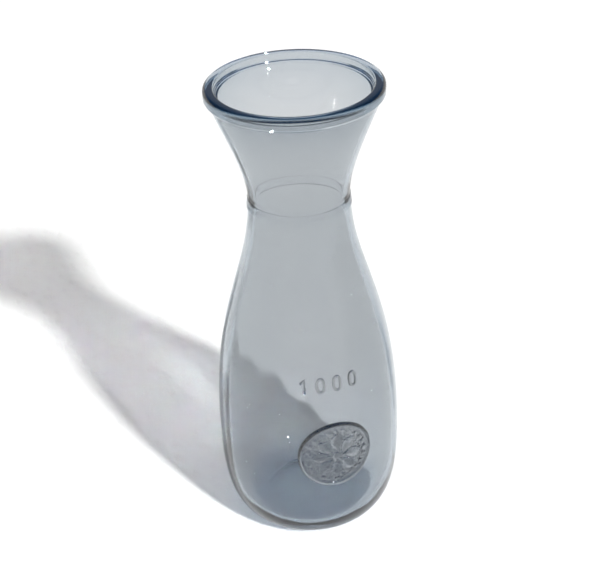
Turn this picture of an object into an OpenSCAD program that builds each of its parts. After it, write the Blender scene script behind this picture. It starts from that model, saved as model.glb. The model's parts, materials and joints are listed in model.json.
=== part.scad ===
// Clear glass water carafe: a round belly, a narrow neck with a low ring and a flared mouth,
// with a round seal pressed on to the front of the belly.
// Millimetres, +Z up, the origin on the table under the middle of the base, the seal facing -Y.

/* [Belly and base] */
// Height from the table to the top of the lip
carafe_h = 265; // [250:1:300]
// Widest outside diameter, at the belly
belly_d = 103.2; // [90:0.2:120]
// Height of the widest place
belly_z = 56; // [46:1:70]
// Outside diameter of the ring that the carafe stands on
foot_d = 61; // [52:1:70]
// Width of the flat ring that meets the table
bearing_w = 4; // [2:0.5:8]
// How far the underside is pushed up in the middle
push_up = 3.5; // [1:0.25:5]
// Wall of the belly, shoulder and neck
wall = 3.4; // [2.4:0.1:4.2]
// Height of the inner floor at its edge
floor_z = 6.5; // [5.5:0.5:9]
// How far the inner floor rises in the middle
floor_rise = 1.5; // [0.5:0.25:4]
// Diameter of the inner floor where the inner heel starts
floor_d = 62; // [52:1:66]

/* [Neck] */
// Narrowest outside diameter, at the neck
neck_d = 54.4; // [46:0.2:62]
// Height of the narrowest place
neck_z = 203; // [196:1:212]
// Height of the lower edge of the neck ring
ring_z = 197.2; // [188:0.2:206]
// Height of the neck ring, edge to edge
ring_h = 5.8; // [3:0.2:10]
// How far the neck ring's lower edge stands out from the wall
ring_rise = 0.7; // [0.3:0.1:2]
// How far the neck ring's upper edge stands out from the wall
ring_top_rise = 0.15; // [0.1:0.05:0.8]
// Bevel at both edges of the neck ring
ring_bevel = 0.5; // [0.2:0.1:1]

/* [Mouth] */
// Outside diameter of the collar round the lip
lip_d = 92.8; // [91.2:0.2:104]
// Height of the collar, from its lower edge to the top of the lip
collar_h = 5.6; // [4.6:0.2:8]
// How far the collar stands out from the flare below it
collar_step = 1.4; // [0.4:0.1:1.8]
// Rounding of the collar's lower edge
collar_round = 0.9; // [0.3:0.1:1.2]
// Rounding of the lip's outer edge
lip_round = 2; // [1:0.1:3.4]
// Rounding of the lip's inner edge
lip_inner_round = 0.9; // [0.5:0.1:1.6]
// Lean of the flare from upright where it meets the collar
flare_tilt = 22; // [15:1:32]
// Diameter of the recess that seats a lid
seat_d = 79.8; // [74:0.2:82.8]
// Depth of the ledge under a lid, from the top of the lip
seat_depth = 4.8; // [3.8:0.1:7]
// Width of the ledge under a lid
ledge_w = 1.3; // [0.6:0.1:2.5]
// Height of the recess's upright wall above the ledge
seat_land = 1.6; // [0.8:0.1:2]
// Lean from upright of the lead-in between that wall and the lip
lead_tilt = 18; // [6:1:24]

/* [Seal] */
// Diameter of the round seal
seal_d = 41.5; // [34:0.5:46]
// Height of the seal's middle
seal_z = 65.9; // [58:0.5:74]
// Width of the seal's rounded border
border_w = 3; // [2:0.1:4]
// How far the border stands out from the wall
border_rise = 1.5; // [1:0.1:2.4]
// How far the field inside the border stands out from the wall
field_rise = 0.8; // [0.5:0.1:0.9]
// Number of petals in the middle of the seal
petal_count = 8; // [6:2:12]
// How far the petals stand out from the field
petal_rise = 0.7; // [0.3:0.1:1.2]
// Radius of the boss in the middle of the petals
boss_r = 2.4; // [1.6:0.1:3.2]
// Number of beads in the ring round the petals
bead_count = 24; // [12:4:24]
// Radius of one bead
bead_r = 1.2; // [0.8:0.1:1.4]
// How far the beads stand out from the field
bead_rise = 0.55; // [0.3:0.05:0.8]
// Clearance between the wall and the back of the seal
seal_gap = 0.1; // [0.08:0.02:0.3]
// Bare width between the border, the beads, the petals and the boss
field_gap = 0.7; // [0.4:0.1:1.2]

/* [Hidden] */
$fn = 160;
belly_r = belly_d / 2;
neck_r = neck_d / 2;
foot_r = foot_d / 2;
floor_r = floor_d / 2;
lip_r = lip_d / 2;
seat_r = seat_d / 2;
collar_z = carafe_h - collar_h;
seat_z = carafe_h - seat_depth;
land_z = seat_z + seat_land;
flare_r = lip_r - collar_step;
collar_fillet = min(collar_round, collar_step);
// Length of the lead-in's straight slope, and radius of the middle of the rounding above it
lead_length = (carafe_h - land_z - lip_inner_round * (1 - sin(lead_tilt))) / cos(lead_tilt);
inner_edge_r = seat_r + lead_length * sin(lead_tilt) + lip_inner_round * cos(lead_tilt);
// How far each curve is drawn along at its two ends, as a share of the width or height it spans
heel_out_share = 0.98;
heel_down_share = 0.41;
belly_up_share = 0.565;
shoulder_down_share = 0.305;
flare_up_share = 0.235;
flare_down_share = 0.45;
inner_heel_out_share = 0.88;
inner_heel_down_share = 0.53;
inner_flare_up_share = 0.28;
inner_flare_down_share = 0.15;
// Steps along each curve of the outline
long_steps = 26;
short_steps = 14;
round_steps = 5;
dome_steps = 7;
// The seal's own radii, from its edge inwards
seal_r = seal_d / 2;
field_r = seal_r - border_w;
bead_ring_r = field_r - field_gap - bead_r;
petal_tip_r = bead_ring_r - bead_r - field_gap;
petal_root_r = boss_r + field_gap;
// Directions and rings of the seal's relief
spokes = 4 * bead_count;
border_rings = 6;
bead_rings = 4;
petal_rings = 6;
boss_rings = 3;
back_rings = 4;
// Widest half-width of a petal as a share of the room that it has there
petal_width_share = 0.86;

// A smooth curve from a to d that leaves a towards b and reaches d from c
function curve(a, b, c, d, steps) = [
    for (i = [0:steps])
        let (t = i / steps, s = 1 - t)
            s * s * s * a + 3 * s * s * t * b + 3 * s * t * t * c + t * t * t * d
];

// Points of an arc round a centre
function arc(centre, radius, from, to, steps) = [
    for (i = [0:steps])
        let (a = from + (to - from) * i / steps)
            centre + radius * [cos(a), sin(a)]
];

// A shallow dome from the axis to its edge, highest on the axis
function dome(edge_r, edge_z, rise, steps) =
    let (radius = (edge_r * edge_r + rise * rise) / (2 * rise), half = asin(edge_r / radius))
        [for (i = [0:steps])
            let (a = half * i / steps)
                [radius * sin(a), edge_z + rise - radius * (1 - cos(a))]];

function backwards(points) = [for (i = [len(points) - 1:-1:0]) points[i]];

// A list of points without its first one, where the list before ends on it
function rest(points) = [for (i = [1:len(points) - 1]) points[i]];

// From the foot to the belly, curving up out of the table
function heel(foot, belly, out_share, down_share) =
    curve(foot, [foot[0] + out_share * (belly[0] - foot[0]), foot[1]],
        [belly[0], belly[1] - down_share * (belly[1] - foot[1])], belly, short_steps);

// From the belly to the neck, upright at both ends
function shoulder(belly, neck) =
    curve(belly, [belly[0], belly[1] + belly_up_share * (neck[1] - belly[1])],
        [neck[0], neck[1] - shoulder_down_share * (neck[1] - belly[1])], neck, long_steps);

// From the neck to the mouth, upright below and leaning out by a tilt above
function flare(neck, mouth, up_share, down_share, tilt) =
    let (rise = mouth[1] - neck[1], down = down_share * rise)
        curve(neck, [neck[0], neck[1] + up_share * rise],
            mouth - down * [tan(tilt), 1], mouth, short_steps);

outer_heel = heel([foot_r, 0], [belly_r, belly_z], heel_out_share, heel_down_share);
outer_shoulder = shoulder([belly_r, belly_z], [neck_r, neck_z]);
outer_flare = flare([neck_r, neck_z], [flare_r, collar_z], flare_up_share, flare_down_share,
    flare_tilt);
inner_heel = heel([floor_r, floor_z], [belly_r - wall, belly_z], inner_heel_out_share,
    inner_heel_down_share);
inner_shoulder = shoulder([belly_r - wall, belly_z], [neck_r - wall, neck_z]);
inner_flare = flare([neck_r - wall, neck_z], [seat_r - ledge_w, seat_z], inner_flare_up_share,
    inner_flare_down_share, 0);

// The collar's rounded lower edge, the lip, its lead-in and the recess's upright wall
lip = concat(
    arc([lip_r - collar_fillet, collar_z + collar_fillet], collar_fillet, -90, 0, round_steps),
    arc([lip_r - lip_round, carafe_h - lip_round], lip_round, 0, 90, round_steps),
    arc([inner_edge_r, carafe_h - lip_inner_round], lip_inner_round, 90, 180 - lead_tilt,
        round_steps),
    [[seat_r, land_z], [seat_r, seat_z]]);

outline = concat(
    dome(foot_r - bearing_w, 0, push_up, dome_steps),
    outer_heel, rest(outer_shoulder), rest(outer_flare), lip,
    backwards(inner_flare), rest(backwards(inner_shoulder)), rest(backwards(inner_heel)),
    rest(backwards(dome(floor_r, floor_z, floor_rise, dome_steps))));

// Outside radius of the wall at a height between the foot and the collar
wall_radii = [for (p = concat(outer_heel, rest(outer_shoulder), rest(outer_flare))) [p[1], p[0]]];
function wall_r(z) = lookup(z, wall_radii);
ring_r = wall_r(ring_z) + ring_rise;
ring_top_r = wall_r(ring_z + ring_h) + ring_top_rise;

// The raised ring round the neck, standing out at its lower edge and fading into the wall above
module neck_ring() {
    rotate_extrude()
        polygon([
            [neck_r - wall / 2, ring_z],
            [ring_r - ring_bevel, ring_z],
            [ring_r, ring_z + ring_bevel],
            [ring_top_r, ring_z + ring_h - ring_bevel],
            [ring_top_r - ring_bevel, ring_z + ring_h],
            [neck_r - wall / 2, ring_z + ring_h]
        ]);
}

module glass_body() {
    color([0.70, 0.77, 0.81, 0.55])
        union() {
            rotate_extrude()
                polygon(outline);
            neck_ring();
        }
}

// A place on the seal, at a distance and direction from its middle and a height off its back
function on_wall(rho, angle, height) =
    let (x = rho * cos(angle), z = seal_z + rho * sin(angle), r = wall_r(z),
        grown = (r + seal_gap + height) / r)
        [x * grown, -sqrt(r * r - x * x) * grown, z];

// Angle from the nearest of a number of even directions
function off_axis(angle, count) =
    let (pitch = 360 / count, a = angle - pitch * floor(angle / pitch))
        min(a, pitch - a);

// Height of a rounded form that is full in its middle and nothing at its edge
function crown(share) = share < 1 ? sqrt(1 - share * share) : 0;

function border_height(rho) =
    border_rise * crown(abs(rho - seal_r + border_w / 2) / (border_w / 2));

function bead_height(rho, angle) =
    let (off = off_axis(angle, bead_count),
        away = norm([rho * cos(off) - bead_ring_r, rho * sin(off)]))
        bead_rise * crown(away / bead_r);

function petal_height(rho, angle) =
    let (along = (rho - petal_root_r) / (petal_tip_r - petal_root_r),
        half = petal_width_share * rho * tan(180 / petal_count) * sin(180 * along))
        along <= 0 || along >= 1
            ? 0
            : petal_rise * crown(rho * sin(off_axis(angle, petal_count)) / half);

function boss_height(rho) = petal_rise * crown(rho / boss_r);

function relief(rho, angle) =
    rho >= seal_r
        ? 0
        : rho > field_r
            ? max(field_rise * (rho < seal_r - border_w / 2 ? 1 : 0), border_height(rho))
            : field_rise + bead_height(rho, angle) + petal_height(rho, angle) + boss_height(rho);

// Distances from the middle at which the relief is cut
relief_radii = concat(
    [for (i = [1:boss_rings]) boss_r * sin(90 * i / boss_rings)],
    [for (i = [0:petal_rings]) petal_root_r + (petal_tip_r - petal_root_r) * i / petal_rings],
    [for (i = [0:bead_rings]) bead_ring_r - bead_r * cos(180 * i / bead_rings)],
    [for (i = [0:border_rings]) field_r + border_w * (1 - cos(180 * i / border_rings)) / 2]);
back_radii = [for (i = [back_rings - 1:-1:1]) seal_r * i / back_rings];
all_radii = concat(relief_radii, back_radii);
front_count = len(relief_radii);

// Corner number of a spoke on a ring, after the front's middle point
function corner(ring, spoke) = 1 + ring * spokes + spoke % spokes;

module seal_medallion() {
    last_ring = len(all_radii) - 1;
    back_middle = 1 + len(all_radii) * spokes;
    corners = concat(
        [on_wall(0, 0, relief(0, 0))],
        [for (k = [0:last_ring], j = [0:spokes - 1])
            let (angle = 360 * j / spokes)
                on_wall(all_radii[k], angle, k < front_count ? relief(all_radii[k], angle) : 0)],
        [on_wall(0, 0, 0)]);
    faces = concat(
        [for (j = [0:spokes - 1]) [0, corner(0, j), corner(0, j + 1)]],
        [for (k = [0:last_ring - 1], j = [0:spokes - 1])
            [corner(k, j), corner(k + 1, j), corner(k + 1, j + 1)]],
        [for (k = [0:last_ring - 1], j = [0:spokes - 1])
            [corner(k, j), corner(k + 1, j + 1), corner(k, j + 1)]],
        [for (j = [0:spokes - 1]) [back_middle, corner(last_ring, j + 1), corner(last_ring, j)]]);
    color([0.78, 0.83, 0.87, 0.7])
        polyhedron(corners, faces);
}

glass_body();
seal_medallion();
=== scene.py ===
import json
import math

import bmesh
import bpy
from mathutils import Matrix, Vector, noise

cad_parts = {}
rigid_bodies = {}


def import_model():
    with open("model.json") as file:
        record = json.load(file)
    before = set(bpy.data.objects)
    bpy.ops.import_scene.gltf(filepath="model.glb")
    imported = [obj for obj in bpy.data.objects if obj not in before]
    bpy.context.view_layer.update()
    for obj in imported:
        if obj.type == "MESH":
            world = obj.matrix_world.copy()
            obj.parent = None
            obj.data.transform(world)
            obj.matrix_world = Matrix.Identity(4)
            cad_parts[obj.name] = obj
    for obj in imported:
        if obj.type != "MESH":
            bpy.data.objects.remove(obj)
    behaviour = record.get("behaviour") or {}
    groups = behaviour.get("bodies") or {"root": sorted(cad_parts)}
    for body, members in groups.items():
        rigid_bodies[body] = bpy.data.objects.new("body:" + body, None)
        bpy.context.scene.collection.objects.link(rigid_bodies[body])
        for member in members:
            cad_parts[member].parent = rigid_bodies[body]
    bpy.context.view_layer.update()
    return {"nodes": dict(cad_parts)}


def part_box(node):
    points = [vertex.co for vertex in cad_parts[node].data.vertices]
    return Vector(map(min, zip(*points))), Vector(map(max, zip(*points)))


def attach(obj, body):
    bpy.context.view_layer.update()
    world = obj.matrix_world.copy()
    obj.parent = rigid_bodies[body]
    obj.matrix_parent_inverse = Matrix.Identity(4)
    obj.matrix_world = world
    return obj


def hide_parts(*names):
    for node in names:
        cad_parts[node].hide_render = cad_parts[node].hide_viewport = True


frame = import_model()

noise.seed_set(3)  # else the folds take their places from the clock
mm = 0.001

print("frame loaded:", sorted(frame["nodes"]))


# sRGB hex to the linear colour that the shaders take
def fromHex(code):
    channels = [int(code[i:i + 2], 16) / 255 for i in (1, 3, 5)]
    return tuple(c / 12.92 if c <= 0.04045 else ((c + 0.055) / 1.055) ** 2.4 for c in channels) + (1,)


# adds a node, sets its properties and socket values, and links its inputs
def addNode(tree, kind, props=None, values=None, links=None):
    node = tree.nodes.new(kind)
    for name, value in (props or {}).items():
        setattr(node, name, value)
    for name, value in (values or {}).items():
        node.inputs[name].default_value = value
    for name, socket in (links or {}).items():
        tree.links.new(socket, node.inputs[name])
    return node


def addLarger(tree, a, b):
    return addNode(tree, "ShaderNodeMath", {"operation": "MAXIMUM"}, links={0: a, 1: b}).outputs[0]


def addProduct(tree, a, b):
    return addNode(tree, "ShaderNodeMath", {"operation": "MULTIPLY"}, links={0: a, 1: b}).outputs[0]


# goes from one hex colour to the other as the factor goes from 0 to 1; 6 and 7 are its colour sockets
def addMix(tree, factor, fromCode, toCode):
    mix = addNode(tree, "ShaderNodeMix", {"data_type": "RGBA"}, {6: fromHex(fromCode), 7: fromHex(toCode)},
                  {0: factor})
    return mix.outputs[2]


def newMaterial(name):
    material = bpy.data.materials.new(name)
    material.use_nodes = True
    material.node_tree.nodes.clear()
    return material, material.node_tree


# Glass
glass = {
    "tint": "#ACC2CF",      # with the density, how much each metre of glass takes away
    "density": 120,
    "skin": "#E6E4E3",      # what the two surfaces of a wall let through
    "ior": 1.52,            # soda-lime glass
    "roughness": 0.01,
    "rippleSize": 14 * mm,  # slow ripple left by the mould
    "rippleDepth": 0.03 * mm,
    "rippleDetail": 1.5,
}


# Soda-lime glass, blown in a mould and fire polished: clear, with a slow ripple and a grey-blue tint
def sodaLimeGlass():
    material, tree = newMaterial("fire polished soda lime glass")
    place = addNode(tree, "ShaderNodeTexCoord")
    ripple = addNode(tree, "ShaderNodeTexNoise",
                     values={"Scale": 1 / glass["rippleSize"], "Detail": glass["rippleDetail"]},
                     links={"Vector": place.outputs["Object"]})
    bump = addNode(tree, "ShaderNodeBump", values={"Strength": 1, "Distance": glass["rippleDepth"]},
                   links={"Height": ripple.outputs["Fac"]})
    surface = addNode(tree, "ShaderNodeBsdfPrincipled",
                      values={"Base Color": fromHex(glass["skin"]), "Roughness": glass["roughness"],
                              "IOR": glass["ior"], "Transmission Weight": 1},
                      links={"Normal": bump.outputs["Normal"]})
    inside = addNode(tree, "ShaderNodeVolumeAbsorption",
                     values={"Color": fromHex(glass["tint"]), "Density": glass["density"]})
    addNode(tree, "ShaderNodeOutputMaterial",
            links={"Surface": surface.outputs["BSDF"], "Volume": inside.outputs["Volume"]})
    return material


clearGlass = sodaLimeGlass()
print("glass material ready")


# Outline of the carafe
low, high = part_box("glass_body")
body = {
    "height": high.z - low.z,
    "bellyRadius": (high.x - low.x) / 2,
    "bellyHeight": 56 * mm,
    "footRadius": 30.5 * mm,
    "footRound": 0.8 * mm,
    "bearingWidth": 4 * mm,   # flat ring that meets the table
    "bearingRound": 0.5 * mm,
    "pushUp": 3.5 * mm,
    "wall": 3.4 * mm,
    "floorHeight": 6.5 * mm,  # inner floor at its edge
    "floorRise": 1.5 * mm,    # and how much higher its middle is
    "floorRadius": 31 * mm,
    "neckRadius": 27.2 * mm,
    "neckHeight": 203 * mm,
    "ringHeight": 197.2 * mm,
    "ringTall": 5.8 * mm,
    "ringRise": 0.7 * mm,     # at its lower edge
    "ringTopRise": 0.15 * mm,
    "ringRound": 0.5 * mm,
    "ringFootRound": 0.3 * mm,
    "ringClear": 0.6 * mm,    # wall left out next to the ring, for its rounds
    "lipRadius": 46.4 * mm,
    "collarTall": 5.6 * mm,
    "collarStep": 1.4 * mm,
    "collarRound": 0.9 * mm,
    "lipRound": 2 * mm,
    "lipInnerRound": 0.9 * mm,
    "flareTilt": 22,          # lean of the flare where it meets the collar, degrees
    "seatRadius": 39.9 * mm,
    "seatDepth": 4.8 * mm,
    "ledgeWidth": 1.3 * mm,
    "seatLand": 1.6 * mm,     # upright wall above the ledge
    "leadTilt": 18,           # lean of the wall from there to the lip
    "cornerRound": 0.4 * mm,
    "heelPull": (0.98, 0.41),      # handles of the curves: near and far end, as shares of width or rise
    "shoulderPull": (0.565, 0.305),
    "flarePull": (0.235, 0.45),
    "innerHeelPull": (0.88, 0.53),
    "innerFlarePull": (0.28, 0.15),
    "heelSteps": 26,
    "shoulderSteps": 60,
    "flareSteps": 30,
    "innerHeelSteps": 60,
    "floorSteps": 44,
    "undersideSteps": 12,
    "spinSteps": 216,
    "weld": 0.01 * mm,
}


def bezier(a, b, c, d, steps):
    points = []
    for i in range(steps + 1):
        t = i / steps
        s = 1 - t
        points.append(s ** 3 * a + 3 * s * s * t * b + 3 * s * t * t * c + t ** 3 * d)
    return points


def arc(centre, radius, start, end, steps):
    points = []
    for i in range(steps + 1):
        a = math.radians(start + (end - start) * i / steps)
        points.append(centre + radius * Vector((math.cos(a), math.sin(a))))
    return points


# from the axis to the edge of a shallow dome
def dome(edge, edgeHeight, rise, steps):
    radius = (edge ** 2 + rise ** 2) / (2 * rise)
    half = math.asin(edge / radius)
    points = []
    for i in range(steps + 1):
        a = half * i / steps
        points.append(Vector((radius * math.sin(a), edgeHeight + rise - radius * (1 - math.cos(a)))))
    return points


# swaps a corner of the outline for a small round, drawn as a quadratic curve
def roundCorner(before, corner, after, size, steps):
    a = corner + (before - corner).normalized() * size
    c = corner + (after - corner).normalized() * size
    points = []
    for i in range(steps + 1):
        t = i / steps
        points.append((1 - t) ** 2 * a + 2 * (1 - t) * t * corner + t * t * c)
    return points


def heelCurve(foot, belly, pull, steps):
    outShare, downShare = pull
    width = belly.x - foot.x
    rise = belly.y - foot.y
    return bezier(foot, Vector((foot.x + outShare * width, foot.y)),
                  Vector((belly.x, belly.y - downShare * rise)), belly, steps)


def shoulderCurve(belly, neck, steps):
    rise = neck.y - belly.y
    upShare, downShare = body["shoulderPull"]
    return bezier(belly, Vector((belly.x, belly.y + upShare * rise)),
                  Vector((neck.x, neck.y - downShare * rise)), neck, steps)


def flareCurve(neck, mouth, pull, tilt, steps):
    upShare, downShare = pull
    rise = mouth.y - neck.y
    lean = Vector((math.tan(math.radians(tilt)), 1))
    return bezier(neck, Vector((neck.x, neck.y + upShare * rise)),
                  mouth - downShare * rise * lean, mouth, steps)


collarZ = body["height"] - body["collarTall"]
seatZ = body["height"] - body["seatDepth"]
foot = Vector((body["footRadius"], 0))
belly = Vector((body["bellyRadius"], body["bellyHeight"]))
neck = Vector((body["neckRadius"], body["neckHeight"]))
flareEnd = Vector((body["lipRadius"] - body["collarStep"], collarZ))
innerFloor = Vector((body["floorRadius"], body["floorHeight"]))
innerBelly = Vector((belly.x - body["wall"], belly.y))
innerNeck = Vector((neck.x - body["wall"], neck.y))
ledgeInner = Vector((body["seatRadius"] - body["ledgeWidth"], seatZ))
ledgeOuter = Vector((body["seatRadius"], seatZ))
landTop = Vector((body["seatRadius"], seatZ + body["seatLand"]))
leadTilt = math.radians(body["leadTilt"])
leadRise = body["height"] - landTop.y - body["lipInnerRound"] * (1 - math.sin(leadTilt))
leadLength = leadRise / math.cos(leadTilt)
innerEdge = (body["seatRadius"] + leadLength * math.sin(leadTilt)
             + body["lipInnerRound"] * math.cos(leadTilt))

outerHeel = heelCurve(foot, belly, body["heelPull"], body["heelSteps"])
outerShoulder = shoulderCurve(belly, neck, body["shoulderSteps"])
outerFlare = flareCurve(neck, flareEnd, body["flarePull"], body["flareTilt"], body["flareSteps"])
innerHeel = heelCurve(innerFloor, innerBelly, body["innerHeelPull"], body["innerHeelSteps"])
innerShoulder = shoulderCurve(innerBelly, innerNeck, body["shoulderSteps"])
innerFlare = flareCurve(innerNeck, ledgeInner, body["innerFlarePull"], 0, body["flareSteps"])
wallLine = outerHeel + outerShoulder[1:]


# outside radius of the wall at a height between the foot and the neck
def wallRadius(z):
    for p, q in zip(wallLine, wallLine[1:]):
        if p.y <= z <= q.y:
            return p.x + (q.x - p.x) * (z - p.y) / max(q.y - p.y, 1e-9)
    return wallLine[-1].x


ringTop = body["ringHeight"] + body["ringTall"]
outerAll = outerHeel + outerShoulder[1:] + outerFlare[1:]
below = [p for p in outerAll if p.y < body["ringHeight"] - body["ringClear"]]
above = [p for p in outerAll if p.y > ringTop + body["ringClear"]]
ringFoot = Vector((wallRadius(body["ringHeight"]), body["ringHeight"]))
ringHead = Vector((body["neckRadius"], ringTop))
ringLow = Vector((ringFoot.x + body["ringRise"], body["ringHeight"]))
ringHigh = Vector((ringHead.x + body["ringTopRise"], ringTop))
ring = (roundCorner(below[-1], ringFoot, ringLow, body["ringFootRound"], steps=4)
        + roundCorner(ringFoot, ringLow, ringHigh, body["ringRound"], steps=5)
        + roundCorner(ringLow, ringHigh, ringHead, body["ringTopRise"] * 0.5, steps=5)
        + roundCorner(ringHigh, ringHead, above[0], body["ringTopRise"] * 0.5, steps=4))
collarFoot = Vector((body["lipRadius"] - body["collarRound"], collarZ + body["collarRound"]))
lipCentre = Vector((body["lipRadius"] - body["lipRound"], body["height"] - body["lipRound"]))
innerCentre = Vector((innerEdge, body["height"] - body["lipInnerRound"]))
lip = (arc(collarFoot, body["collarRound"], -90, 0, steps=6)
       + arc(lipCentre, body["lipRound"], 0, 90, steps=12)
       + arc(innerCentre, body["lipInnerRound"], 90, 180 - body["leadTilt"], steps=10))
ledge = (roundCorner(lip[-1], landTop, ledgeOuter, body["cornerRound"], steps=4)
         + roundCorner(landTop, ledgeOuter, ledgeInner, body["cornerRound"], steps=4)
         + roundCorner(ledgeOuter, ledgeInner, innerFlare[-2], body["cornerRound"], steps=4))
bearing = Vector((body["footRadius"] - body["bearingWidth"], 0))
underside = dome(bearing.x, 0, body["pushUp"], body["undersideSteps"])
innerFloorDome = dome(body["floorRadius"], body["floorHeight"], body["floorRise"], body["floorSteps"])

outline = underside[:-1]
outline += roundCorner(underside[-2], bearing, foot, body["bearingRound"], steps=3)
outline += roundCorner(bearing, foot, outerHeel[2], body["footRound"], steps=4)
outline += below[2:] + ring + above[:-1] + [flareEnd] + lip + ledge
for inner in (innerFlare, innerShoulder, innerHeel, innerFloorDome):
    outline += inner[-2::-1]


# Uneven inside
uneven = {
    "waveDepth": 0.2 * mm,    # upright folds in the blown wall, most in the belly
    "waves": ((3, 0.4, 1.0), (5, 2.1, 0.7), (9, 1.3, 0.6), (17, 5.4, 0.3)),  # count, turn, share
    "waveLean": 1.1,          # how far they wander round the axis on their way up, radians
    "waveBends": 3,
    "waveFade": 0.8,          # power of the fade towards the floor and the neck
    "foldDepth": 1.3 * mm,    # folds where the thick heel settled while it cooled
    "foldSize": 9 * mm,
    "foldTwist": 3 * mm,
    "foldCrease": 0.2,        # 0 gives sharp creases
    "foldLevel": 0.3,         # height of the crease that stays where it was
    "foldShift": Vector((3.1, 7.4, 0.6)),
    "foldStart": 9 * mm,      # over the floor, where they are in full
    "foldTop": 110 * mm,      # and the height where they end
    "foldSide": 150,          # where they are deepest, degrees round from the front
    "foldLeast": 0.02,        # share left on the other side
}


# how far the inside stands out at an angle round the axis and a height
def waveIn(angle, z):
    rise = (z - body["floorHeight"]) / (body["neckHeight"] - body["floorHeight"])
    if rise <= 0 or rise >= 1:
        return 0
    total = 0
    for count, turn, share in uneven["waves"]:
        lean = uneven["waveLean"] * math.sin(uneven["waveBends"] * rise + count)
        total += share * math.cos(count * angle + turn + lean)
    return uneven["waveDepth"] * total * math.sin(math.pi * rise) ** uneven["waveFade"]


def clamp(value):
    return min(1, max(0, value))


# how far the inside moves along its normal, thicker at the creases
def foldIn(place):
    size = uneven["foldSize"]
    twisted = place + uneven["foldTwist"] * noise.noise_vector(place / size)
    crease = math.hypot(noise.noise(twisted / size + uneven["foldShift"]), uneven["foldCrease"])
    side = math.radians(uneven["foldSide"])
    radius = max(math.hypot(place.x, place.y), mm)
    facing = clamp((place.x * math.sin(side) - place.y * math.cos(side)) / radius)
    share = uneven["foldLeast"] + (1 - uneven["foldLeast"]) * facing ** 2
    share *= clamp((place.z - body["floorHeight"]) / uneven["foldStart"])
    share *= clamp(1 - place.z / uneven["foldTop"]) ** 2
    return uneven["foldDepth"] * share * (uneven["foldLevel"] - crease)


# Glass body
def makeBody():
    bm = bmesh.new()
    verts = [bm.verts.new((p.x, 0, p.y)) for p in outline]
    verts[0].co.x = 0
    verts[-1].co.x = 0
    edges = [bm.edges.new(pair) for pair in zip(verts, verts[1:])]
    bmesh.ops.spin(bm, geom=verts + edges, cent=(0, 0, 0), axis=(0, 0, 1), dvec=(0, 0, 0),
                   angle=math.tau, steps=body["spinSteps"], use_merge=True, use_duplicate=False)
    bmesh.ops.remove_doubles(bm, verts=bm.verts, dist=body["weld"])
    bmesh.ops.recalc_face_normals(bm, faces=bm.faces)
    bm.normal_update()
    # only the inside is uneven, the outline outside stays clean
    for vert in bm.verts:
        radius = math.hypot(vert.co.x, vert.co.y)
        z = vert.co.z
        if radius > wallRadius(z) - body["wall"] / 2 or not body["pushUp"] < z < body["neckHeight"]:
            continue
        move = vert.normal * foldIn(vert.co)
        if radius > body["neckRadius"] / 2 and z > body["floorHeight"]:
            grown = 1 + waveIn(math.atan2(vert.co.y, vert.co.x), z) / radius
            vert.co.x *= grown
            vert.co.y *= grown
        vert.co += move
    mesh = bpy.data.meshes.new("glassBody")
    bm.to_mesh(mesh)
    bm.free()
    piece = bpy.data.objects.new("glassBody", mesh)
    bpy.context.collection.objects.link(piece)
    for polygon in mesh.polygons:
        polygon.use_smooth = True
    mesh.materials.append(clearGlass)
    return piece


glassBody = makeBody()
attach(glassBody, "root")
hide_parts("glass_body")
print("glass body:", len(glassBody.data.polygons), "faces")


# Seal
sealLow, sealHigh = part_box("seal_medallion")
seal = {
    "radius": (sealHigh.x - sealLow.x) / 2,
    "middle": (sealLow.z + sealHigh.z) / 2,
    "border": 3 * mm,
    "borderRise": 1.5 * mm,
    "fieldRise": 0.8 * mm,
    "petals": 8,
    "petalRise": 0.7 * mm,
    "petalWidth": 0.86,
    "bossRadius": 2.4 * mm,
    "beads": 24,
    "beadRadius": 1.2 * mm,
    "beadRise": 0.55 * mm,
    "bareWidth": 0.7 * mm,
    "sunk": 0.12 * mm,        # the seal is melted a little way into the wall
    "grain": 1.2 * mm,        # stippled ground of the die
    "grainDepth": 0.6 * mm,
    "grainEdge": 0.6 * mm,    # how far inside the border it dies out
    "spokes": 360,
    "rings": 110,
    "backRings": 6,
    "weld": 0.005 * mm,
}


# a place that stands a height off the wall, by its way right of and above the middle of the front
def offWall(x, z, height):
    radius = wallRadius(z)
    grown = (radius + height) / radius
    return Vector((x * grown, -math.sqrt(radius ** 2 - x ** 2) * grown, z))


def crown(share):
    return math.sqrt(1 - share * share) if share < 1 else 0


def offAxis(angle, count):
    pitch = math.tau / count
    part = angle % pitch
    return min(part, pitch - part)


def sealRelief(rho, angle):
    field = seal["radius"] - seal["border"]
    if rho >= field:
        half = seal["border"] / 2
        border = seal["borderRise"] * crown(abs(rho - seal["radius"] + half) / half)
        return max(border, seal["fieldRise"]) if rho < seal["radius"] - half else border
    beadRing = field - seal["bareWidth"] - seal["beadRadius"]
    tip = beadRing - seal["beadRadius"] - seal["bareWidth"]
    root = seal["bossRadius"] + seal["bareWidth"]
    off = offAxis(angle, seal["beads"])
    offBead = math.hypot(rho * math.cos(off) - beadRing, rho * math.sin(off))
    bead = seal["beadRise"] * crown(offBead / seal["beadRadius"])
    petal = 0
    along = (rho - root) / (tip - root)
    if 0 < along < 1:
        half = seal["petalWidth"] * rho * math.tan(math.pi / seal["petals"]) * math.sin(math.pi * along)
        petal = seal["petalRise"] * crown(rho * math.sin(offAxis(angle, seal["petals"])) / half)
    boss = seal["petalRise"] * crown(rho / seal["bossRadius"])
    relief = bead + petal + boss
    place = Vector((rho * math.cos(angle), rho * math.sin(angle), 0)) / seal["grain"]
    fade = min(1, (field - rho) / seal["grainEdge"]) * max(0, 1 - relief / seal["petalRise"])
    return seal["fieldRise"] + relief + seal["grainDepth"] * noise.noise(place) * fade


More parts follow.
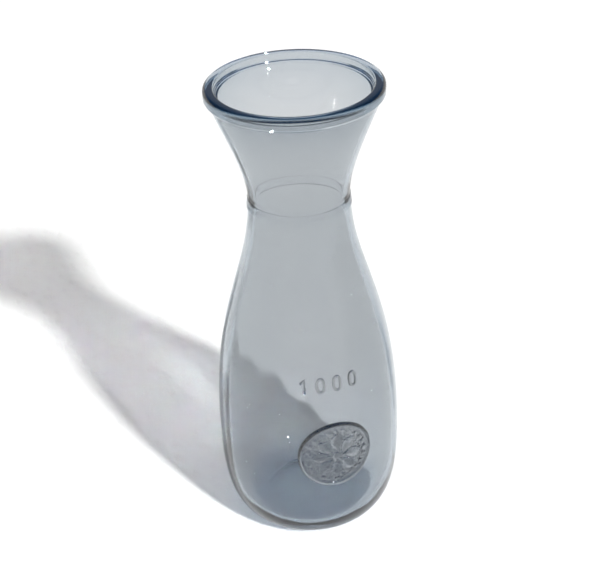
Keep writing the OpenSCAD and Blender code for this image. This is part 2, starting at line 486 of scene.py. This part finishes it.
# a flat disc at first, its front at 1 and its back at -1, then bent on to the wall
def makeSeal():
    bm = bmesh.new()
    front = [bm.verts.new((seal["radius"] * i / seal["rings"], 0, 1)) for i in range(seal["rings"])]
    edge = bm.verts.new((seal["radius"], 0, 0))
    inwards = range(seal["backRings"] - 1, -1, -1)
    back = [bm.verts.new((seal["radius"] * i / seal["backRings"], 0, -1)) for i in inwards]
    line = front + [edge] + back
    edges = [bm.edges.new(pair) for pair in zip(line, line[1:])]
    bmesh.ops.spin(bm, geom=line + edges, cent=(0, 0, 0), axis=(0, 0, 1), dvec=(0, 0, 0),
                   angle=math.tau, steps=seal["spokes"], use_merge=True, use_duplicate=False)
    bmesh.ops.remove_doubles(bm, verts=bm.verts, dist=seal["weld"])
    bmesh.ops.recalc_face_normals(bm, faces=bm.faces)
    for vert in bm.verts:
        rho = math.hypot(vert.co.x, vert.co.y)
        angle = math.atan2(vert.co.y, vert.co.x)
        height = sealRelief(rho, angle) if vert.co.z > 0 else -seal["sunk"]
        vert.co = offWall(vert.co.x, seal["middle"] + vert.co.y, height)
    bmesh.ops.recalc_face_normals(bm, faces=bm.faces)
    mesh = bpy.data.meshes.new("glassSeal")
    bm.to_mesh(mesh)
    bm.free()
    for polygon in mesh.polygons:
        polygon.use_smooth = True
    mesh.materials.append(clearGlass)
    piece = bpy.data.objects.new("glassSeal", mesh)
    bpy.context.collection.objects.link(piece)
    return piece


glassSeal = makeSeal()
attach(glassSeal, "root")
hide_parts("seal_medallion")
print("seal:", len(glassSeal.data.polygons), "faces")


# Capacity figures
figures = {
    "digits": "1000",
    "tall": 9.4 * mm,
    "wide": 5.6 * mm,
    "pitch": 9.2 * mm,
    "stroke": 1.6 * mm,
    "rise": 0.75 * mm,
    "sunk": 0.12 * mm,
    "foot": 105.8 * mm,
    "turn": -2,               # degrees round from the seal
    "flagOut": 2.4,           # width of a figure over the reach of the one's flag
    "flagHigh": 0.24,         # end of the flag over the middle, as a share of the height
    "stemRight": 0.1,
    "curveSteps": 14,
    "roundSteps": 4,
    "weld": 0.005 * mm,
}


# centre line of a digit, on a flat sheet
def digitLine(digit, x):
    tall = figures["tall"] - figures["stroke"]
    wide = figures["wide"] - figures["stroke"]
    curve = bpy.data.curves.new("digit", "CURVE")
    curve.dimensions = "3D"
    curve.resolution_u = figures["curveSteps"]
    curve.bevel_depth = figures["stroke"] / 2
    curve.bevel_resolution = figures["roundSteps"]
    curve.use_fill_caps = True
    spline = curve.splines.new("BEZIER")
    if digit == "0":
        places = [(-wide / 2, 0), (0, tall / 2), (wide / 2, 0), (0, -tall / 2)]
        spline.use_cyclic_u = True
        handle = "AUTO"
    else:
        stem = figures["stemRight"] * wide
        flag = (-wide / figures["flagOut"], tall * figures["flagHigh"])
        places = [flag, (stem, tall / 2), (stem, -tall / 2)]
        handle = "VECTOR"
    spline.bezier_points.add(len(places) - 1)
    for point, (px, py) in zip(spline.bezier_points, places):
        point.co = (x + px, py, 0)
        point.handle_left_type = handle
        point.handle_right_type = handle
    return curve


def makeFigures():
    bm = bmesh.new()
    start = -(len(figures["digits"]) - 1) / 2
    for i, digit in enumerate(figures["digits"]):
        curve = digitLine(digit, (start + i) * figures["pitch"])
        holder = bpy.data.objects.new("digit", curve)
        bpy.context.collection.objects.link(holder)
        graph = bpy.context.evaluated_depsgraph_get()
        flat = bpy.data.meshes.new_from_object(holder.evaluated_get(graph))
        bm.from_mesh(flat)
        bpy.data.objects.remove(holder)
        bpy.data.meshes.remove(flat)
    bmesh.ops.remove_doubles(bm, verts=bm.verts, dist=figures["weld"])
    bmesh.ops.recalc_face_normals(bm, faces=bm.faces)
    middle = figures["foot"] + figures["tall"] / 2
    turn = math.radians(figures["turn"])
    for vert in bm.verts:
        height = max(-figures["sunk"], vert.co.z * figures["rise"] / (figures["stroke"] / 2))
        z = middle + vert.co.y
        radius = wallRadius(z) + height
        angle = turn + vert.co.x / wallRadius(middle)
        vert.co = (radius * math.sin(angle), -radius * math.cos(angle), z)
    mesh = bpy.data.meshes.new("capacityFigures")
    bm.to_mesh(mesh)
    bm.free()
    for polygon in mesh.polygons:
        polygon.use_smooth = True
    mesh.materials.append(clearGlass)
    piece = bpy.data.objects.new("capacityFigures", mesh)
    bpy.context.collection.objects.link(piece)
    return piece


capacityFigures = makeFigures()
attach(capacityFigures, "root")
print("figures:", len(capacityFigures.data.polygons), "faces")


# Floor
floorLook = {
    "size": 8,
    "lit": "#F4F4F4",
    "seen": "#FFFFFF",
    "below": 0.6 * mm,        # keeps it clear of the glass
}


# Matt white paper: white as it shows, and a touch greyer in the light that it gives back
def mattPaper():
    material, tree = newMaterial("matt white paper")
    path = addNode(tree, "ShaderNodeLightPath")
    throughGlass = addLarger(tree, path.outputs["Is Glossy Ray"], path.outputs["Is Transmission Ray"])
    seen = addLarger(tree, throughGlass, path.outputs["Is Camera Ray"])
    colour = addMix(tree, seen, floorLook["lit"], floorLook["seen"])
    paper = addNode(tree, "ShaderNodeBsdfDiffuse", links={"Color": colour})
    addNode(tree, "ShaderNodeOutputMaterial", links={"Surface": paper.outputs["BSDF"]})
    return material


def makeFloor():
    bm = bmesh.new()
    bmesh.ops.create_grid(bm, x_segments=1, y_segments=1, size=floorLook["size"] / 2)
    mesh = bpy.data.meshes.new("floor")
    bm.to_mesh(mesh)
    bm.free()
    floor = bpy.data.objects.new("floor", mesh)
    bpy.context.collection.objects.link(floor)
    mesh.materials.append(mattPaper())
    return floor


floor = makeFloor()
floor.data.transform(Matrix.Translation((0, 0, -floorLook["below"])))
print("floor ready")


# Lamps and world
lamps = {
    "sunAzimuth": 21.7,        # degrees, as are the next and the size
    "sunElevation": 35.5,
    "sunStrength": 3.6,
    "sunSize": 4,
    "fill": "#AEAEAE",         # what the sky gives to the floor
    "fillInGlass": "#D8E4F4",  # and what it gives it through glass
    "glow": 335,               # the sun as the floor gets it through glass, a soft disc
    "glowCore": 1.5,           # degrees, as are the edge and the two of the sky
    "glowEdge": 3.5,
    "horizon": "#FFFFFF",      # the sky as it shows, also in glass
    "zenith": "#5588C4",
    "horizonTop": 12,          # the sky stays pale up to here
    "zenithFrom": 30,
}


def sunDirection():
    a = math.radians(lamps["sunAzimuth"])
    e = math.radians(lamps["sunElevation"])
    return Vector((math.sin(a) * math.cos(e), -math.cos(a) * math.cos(e), math.sin(e)))


def makeSun():
    lamp = bpy.data.lights.new("sun", "SUN")
    lamp.energy = lamps["sunStrength"]
    lamp.angle = math.radians(lamps["sunSize"])
    sun = bpy.data.objects.new("sun", lamp)
    bpy.context.collection.objects.link(sun)
    sun.rotation_euler = sunDirection().to_track_quat("Z", "Y").to_euler()
    sun.location = sunDirection()


makeSun()


# The sky has two faces: the one that shows, and the one that lights the floor
def makeWorld():
    world = bpy.data.worlds.new("soft sky")
    bpy.context.scene.world = world
    world.use_nodes = True
    tree = world.node_tree
    tree.nodes.clear()
    place = addNode(tree, "ShaderNodeTexCoord").outputs["Generated"]
    path = addNode(tree, "ShaderNodeLightPath")
    throughGlass = addLarger(tree, path.outputs["Is Glossy Ray"], path.outputs["Is Transmission Ray"])

    parts = addNode(tree, "ShaderNodeSeparateXYZ", links={"Vector": place})
    climb = addNode(tree, "ShaderNodeMapRange", {"interpolation_type": "SMOOTHSTEP"},
                    {"From Min": math.sin(math.radians(lamps["horizonTop"])),
                     "From Max": math.sin(math.radians(lamps["zenithFrom"]))},
                    {"Value": parts.outputs["Z"]})
    skyColour = addMix(tree, climb.outputs["Result"], lamps["horizon"], lamps["zenith"])
    sky = addNode(tree, "ShaderNodeBackground", values={"Strength": 1}, links={"Color": skyColour})

    fillColour = addMix(tree, throughGlass, lamps["fill"], lamps["fillInGlass"])
    fill = addNode(tree, "ShaderNodeBackground", values={"Strength": 1}, links={"Color": fillColour})
    towards = addNode(tree, "ShaderNodeVectorMath", {"operation": "DOT_PRODUCT"}, {1: sunDirection()},
                      {0: place})
    glow = addNode(tree, "ShaderNodeMapRange", {"interpolation_type": "SMOOTHSTEP"},
                   {"From Min": math.cos(math.radians(lamps["glowEdge"])),
                    "From Max": math.cos(math.radians(lamps["glowCore"])),
                    "To Max": lamps["glow"]},
                   {"Value": towards.outputs["Value"]})
    glowLevel = addProduct(tree, glow.outputs["Result"], throughGlass)
    sunDisc = addNode(tree, "ShaderNodeBackground", values={"Color": (1, 1, 1, 1)},
                      links={"Strength": glowLevel})
    given = addNode(tree, "ShaderNodeAddShader",
                    links={0: fill.outputs["Background"], 1: sunDisc.outputs["Background"]})

    looked = addLarger(tree, throughGlass, path.outputs["Is Camera Ray"])
    # direct means that the ray has met nothing matt yet
    direct = addNode(tree, "ShaderNodeMath", {"operation": "LESS_THAN"}, {1: 0.5},
                     {0: path.outputs["Diffuse Depth"]})
    seen = addProduct(tree, looked, direct.outputs[0])
    both = addNode(tree, "ShaderNodeMixShader",
                   links={"Fac": seen, 1: given.outputs["Shader"], 2: sky.outputs["Background"]})
    addNode(tree, "ShaderNodeOutputWorld", links={"Surface": both.outputs["Shader"]})


makeWorld()
print("lamps and world ready")


# Camera
view = {
    "azimuth": -16,           # degrees, as are down, yaw and roll
    "distance": 625.6 * mm,   # from the carafe's axis
    "height": 530 * mm,
    "down": 31.891,
    "yaw": -0.1634,
    "roll": 2.6474,
    "focalPixels": 1337.7,    # focal length over the width of a pixel
    "widthPixels": 600,
    "sensor": 36,
}


def makeCamera():
    data = bpy.data.cameras.new("camera")
    camera = bpy.data.objects.new("camera", data)
    bpy.context.collection.objects.link(camera)
    data.sensor_fit = "HORIZONTAL"
    data.sensor_width = view["sensor"]
    data.lens = view["focalPixels"] * view["sensor"] / view["widthPixels"]
    a = math.radians(view["azimuth"])
    place = Vector((math.sin(a) * view["distance"], -math.cos(a) * view["distance"], view["height"]))
    turn = (Matrix.Rotation(a - math.radians(view["yaw"]), 4, "Z")
            @ Matrix.Rotation(math.radians(90 - view["down"]), 4, "X")
            @ Matrix.Rotation(math.radians(-view["roll"]), 4, "Z"))
    camera.matrix_world = Matrix.Translation(place) @ turn
    bpy.context.scene.camera = camera


makeCamera()

scene = bpy.context.scene
scene.view_settings.view_transform = "Standard"
scene.cycles.max_bounces = 24
scene.cycles.transmission_bounces = 24
scene.cycles.glossy_bounces = 12
scene.cycles.blur_glossy = 0            # both let the sun's light through the glass reach the floor
scene.cycles.sample_clamp_indirect = 0
